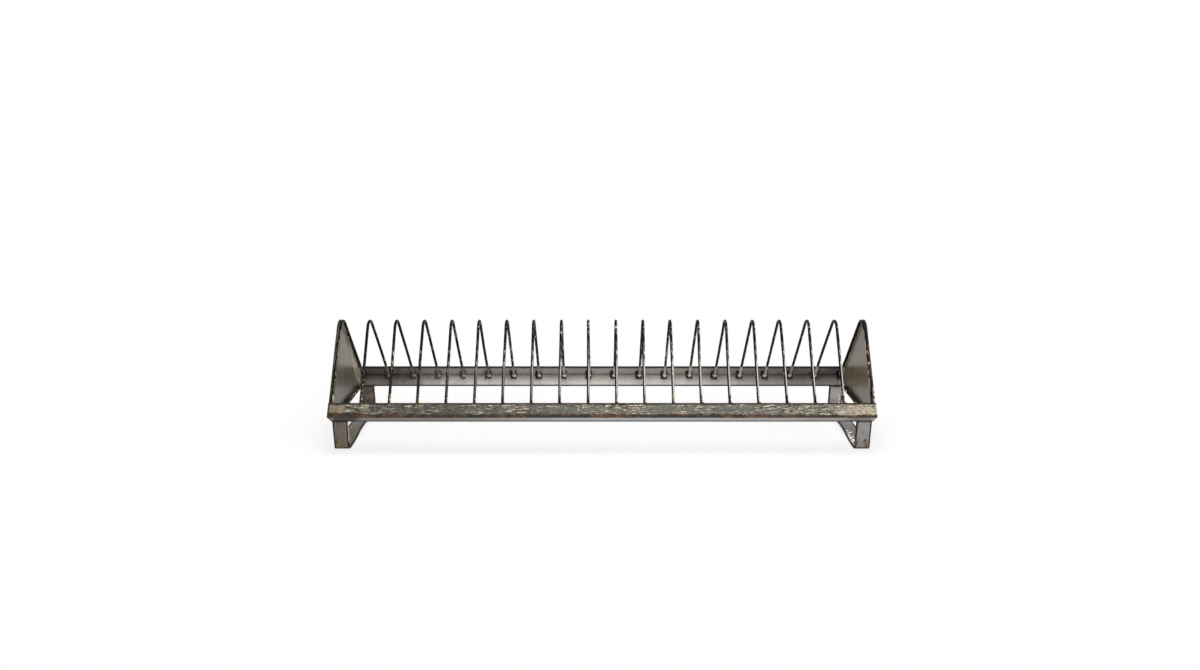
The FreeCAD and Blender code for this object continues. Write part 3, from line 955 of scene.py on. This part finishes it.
def weld_finish():
    """Weld beads: painted over and pale under the back hoops, partly a painted highlight duller at the
    left, and rusty elsewhere.
    """
    paint = Paint("weld_bead")
    lumps = paint.noise(650.0)
    back = paint.span(paint.depth, -20, 20)
    painted = back * paint.span(abs(paint.side), 340, 336)
    painted = painted * paint.span(paint.hoop_distance(paint.side), 3.6, 2.6)
    rusty = paint.rust(0.02 - back * 0.12)
    rusty = paint.mix(paint.band(lumps, 0.56, 0.62) * (1 - back), rusty, CREAM)
    # Pale paint on the back beads, partly a painted highlight, dimmer towards the left.
    pale = paint.mix(paint.band(lumps, 0.34, 0.46), shade(196, 193, 188), shade(252, 250, 246))
    pale = paint.mix(paint.band(paint.side, -0.05, -0.3) * 0.7, pale, shade(112, 106, 99))
    return paint.coated(paint.mix(painted, rusty, pale), 0.75 - painted * 0.4, lumps, 0.15 * MM, 0.4)


# The dressed rack

def dress(piece, nodes, material):
    """Puts a finish on a piece, which stands for these nodes, if any."""
    piece.data.materials.append(material)
    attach(piece, "root")
    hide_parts(*nodes)


rail_paint, wire_paint, panel_paint = rail_finish(), wire_finish(), panel_finish()
strap_paint, weld_bead = strap_finish(), weld_finish()

for name, seed, placed in (("front_rail", 11, as_made), ("back_rail", 23, half_turn)):
    rings, along, across, edge, weld = rail_rings(seed)
    piece = solid(name + "_bent_sheet", placed(rings), along, across, edge, weld)
    dress(piece, [name], rail_paint)

hoop_nodes = ["end_hoop_left"] + ["hoop_%02d" % i for i in range(1, SLOTS)] + ["end_hoop_right"]
for number, (x, node) in enumerate(zip(STATIONS, hoop_nodes)):
    rings, along, across, weld = hoop_rings(x, 100 + number)
    dress(solid(node + "_round_wire", rings, along, across, weld=weld), [node], wire_paint)

rings, along, across, edge = panel_rings()
for side, placed in (("left", as_made), ("right", half_turn)):
    piece = solid("end_panel_%s_sheet" % side, placed(rings), along, across, edge)
    dress(piece, ["end_panel_" + side], panel_paint)

rings, along, across, weld = tie_rings()
for side, placed in (("left", as_made), ("right", half_turn)):
    piece = solid("end_tie_%s_rod" % side, placed(rings), along, across, weld=weld)
    dress(piece, ["end_tie_" + side], wire_paint)

for side, seed, placed in (("left", 31, as_made), ("right", 37, half_turn)):
    rings, along, across, edge = foot_rings(seed)
    piece = solid("foot_%s_strap" % side, placed(rings), along, across, edge)
    dress(piece, ["foot_" + side], strap_paint)

welds = (
    ("front_hoop_beads", ["front_hoop_welds"], as_made, hoop_bead_rings(FRONT_COLLAR, 41)),
    ("back_hoop_beads", ["back_hoop_welds"], half_turn, hoop_bead_rings(BACK_COLLAR, 43)),
    ("front_edge_tacks", [], as_made, toe_tack_rings(45)),
    ("panel_tacks", ["panel_tack_welds"], both_sides, tack_rings(47)),
    ("foot_beads", ["foot_welds"], both_sides, foot_bead_rings(53)),
)
for name, nodes, placed, (rings, along, across) in welds:
    dress(solid(name, placed(rings), along, across), nodes, weld_bead)


# Studio

WHITE = (1, 1, 1, 1)
FLOOR_SIZE = 60.0
SHADOW_REACH = 0.16     # the floor shows shadows this far from the rack and is plain white further out
DOME_LEVEL = 0.4
RACK_MIDDLE = (0, 0, 0.08)
CAMERA_PLACE = (-0.0028, -1.16967, 0.48148)
CAMERA_TILT = math.radians(73.76)
CAMERA_LENS = 26.2      # in millimetres, as the sensor's width is
SENSOR_WIDTH = 36.0


def seen_share(tree):
    """1 for camera, glossy and transmission rays, 0 for the rays that carry light to the rack."""
    path = tree.node("ShaderNodeLightPath", output="Is Camera Ray")
    rays = path.link.node.outputs
    return path | Socket(tree, rays["Is Glossy Ray"]) | Socket(tree, rays["Is Transmission Ray"])


def floor_finish():
    """White paper: it shows a share of the light and shadow that falls on it, and white for the rest."""
    paper = Paint("studio_paper")
    beside = abs(paper.side) - RAIL_END_X
    ahead = abs(paper.depth) - RACK_DEPTH / 2
    white = 0.72 + paper.band(beside | ahead, 0.0, SHADOW_REACH) * 0.28
    matt = paper.node("ShaderNodeBsdfDiffuse", None, {"Color": (0.9, 0.9, 0.9, 1)})
    glow = paper.node("ShaderNodeEmission", None, {"Color": WHITE, "Strength": 1.0})
    paper.finish(paper.node("ShaderNodeMixShader", None, {0: seen_share(paper) * white, 1: matt, 2: glow}))
    return paper.material


def studio_floor():
    """A square floor at z = 0."""
    half = FLOOR_SIZE / 2
    corners = [(-half, -half, 0), (half, -half, 0), (half, half, 0), (-half, half, 0)]
    mesh = bpy.data.meshes.new("studio_floor")
    mesh.from_pydata(corners, [], [(0, 1, 2, 3)])
    mesh.materials.append(floor_finish())
    floor = bpy.data.objects.new("studio_floor", mesh)
    bpy.context.scene.collection.objects.link(floor)


class Sky(Finish):
    """The world, built as a material is."""

    library, output = bpy.data.worlds, "ShaderNodeOutputWorld"


def studio_world():
    """An even dome of light that is seen as white."""
    sky = Sky("studio_white")
    dome = sky.node("ShaderNodeBackground", None, {"Color": WHITE, "Strength": DOME_LEVEL})
    white = sky.node("ShaderNodeBackground", None, {"Color": WHITE, "Strength": 1.0})
    sky.finish(sky.node("ShaderNodeMixShader", None, {0: seen_share(sky), 1: dome, 2: white}))
    bpy.context.scene.world = sky.material


def soft_box(name, place, width, depth, power):
    """A soft lamp at a place, turned to the middle of the rack."""
    lamp = bpy.data.lights.new(name, "AREA")
    lamp.shape = "RECTANGLE"
    lamp.size, lamp.size_y, lamp.energy = width, depth, power
    holder = bpy.data.objects.new(name, lamp)
    holder.location = place
    sight = np.array(RACK_MIDDLE) - np.array(place)
    turn = math.atan2(-sight[0], sight[1])
    tilt = math.atan2(np.hypot(sight[0], sight[1]), -sight[2])
    holder.rotation_euler = (tilt, 0, turn)
    bpy.context.scene.collection.objects.link(holder)


def photo_camera():
    """The camera, where the photograph was taken from."""
    camera = bpy.data.cameras.new("camera")
    camera.sensor_width = SENSOR_WIDTH
    camera.lens = CAMERA_LENS
    viewer = bpy.data.objects.new("camera", camera)
    viewer.location = CAMERA_PLACE
    viewer.rotation_euler = (CAMERA_TILT, 0, 0)
    bpy.context.scene.collection.objects.link(viewer)
    bpy.context.scene.camera = viewer


studio_floor()
studio_world()
soft_box("overhead_soft_box", (0, -0.3, 1.6), width=0.9, depth=1.1, power=22)
soft_box("right_soft_box", (1.6, -0.9, 0.9), width=0.7, depth=0.9, power=8)
photo_camera()
bpy.context.scene.view_settings.view_transform = "Standard"
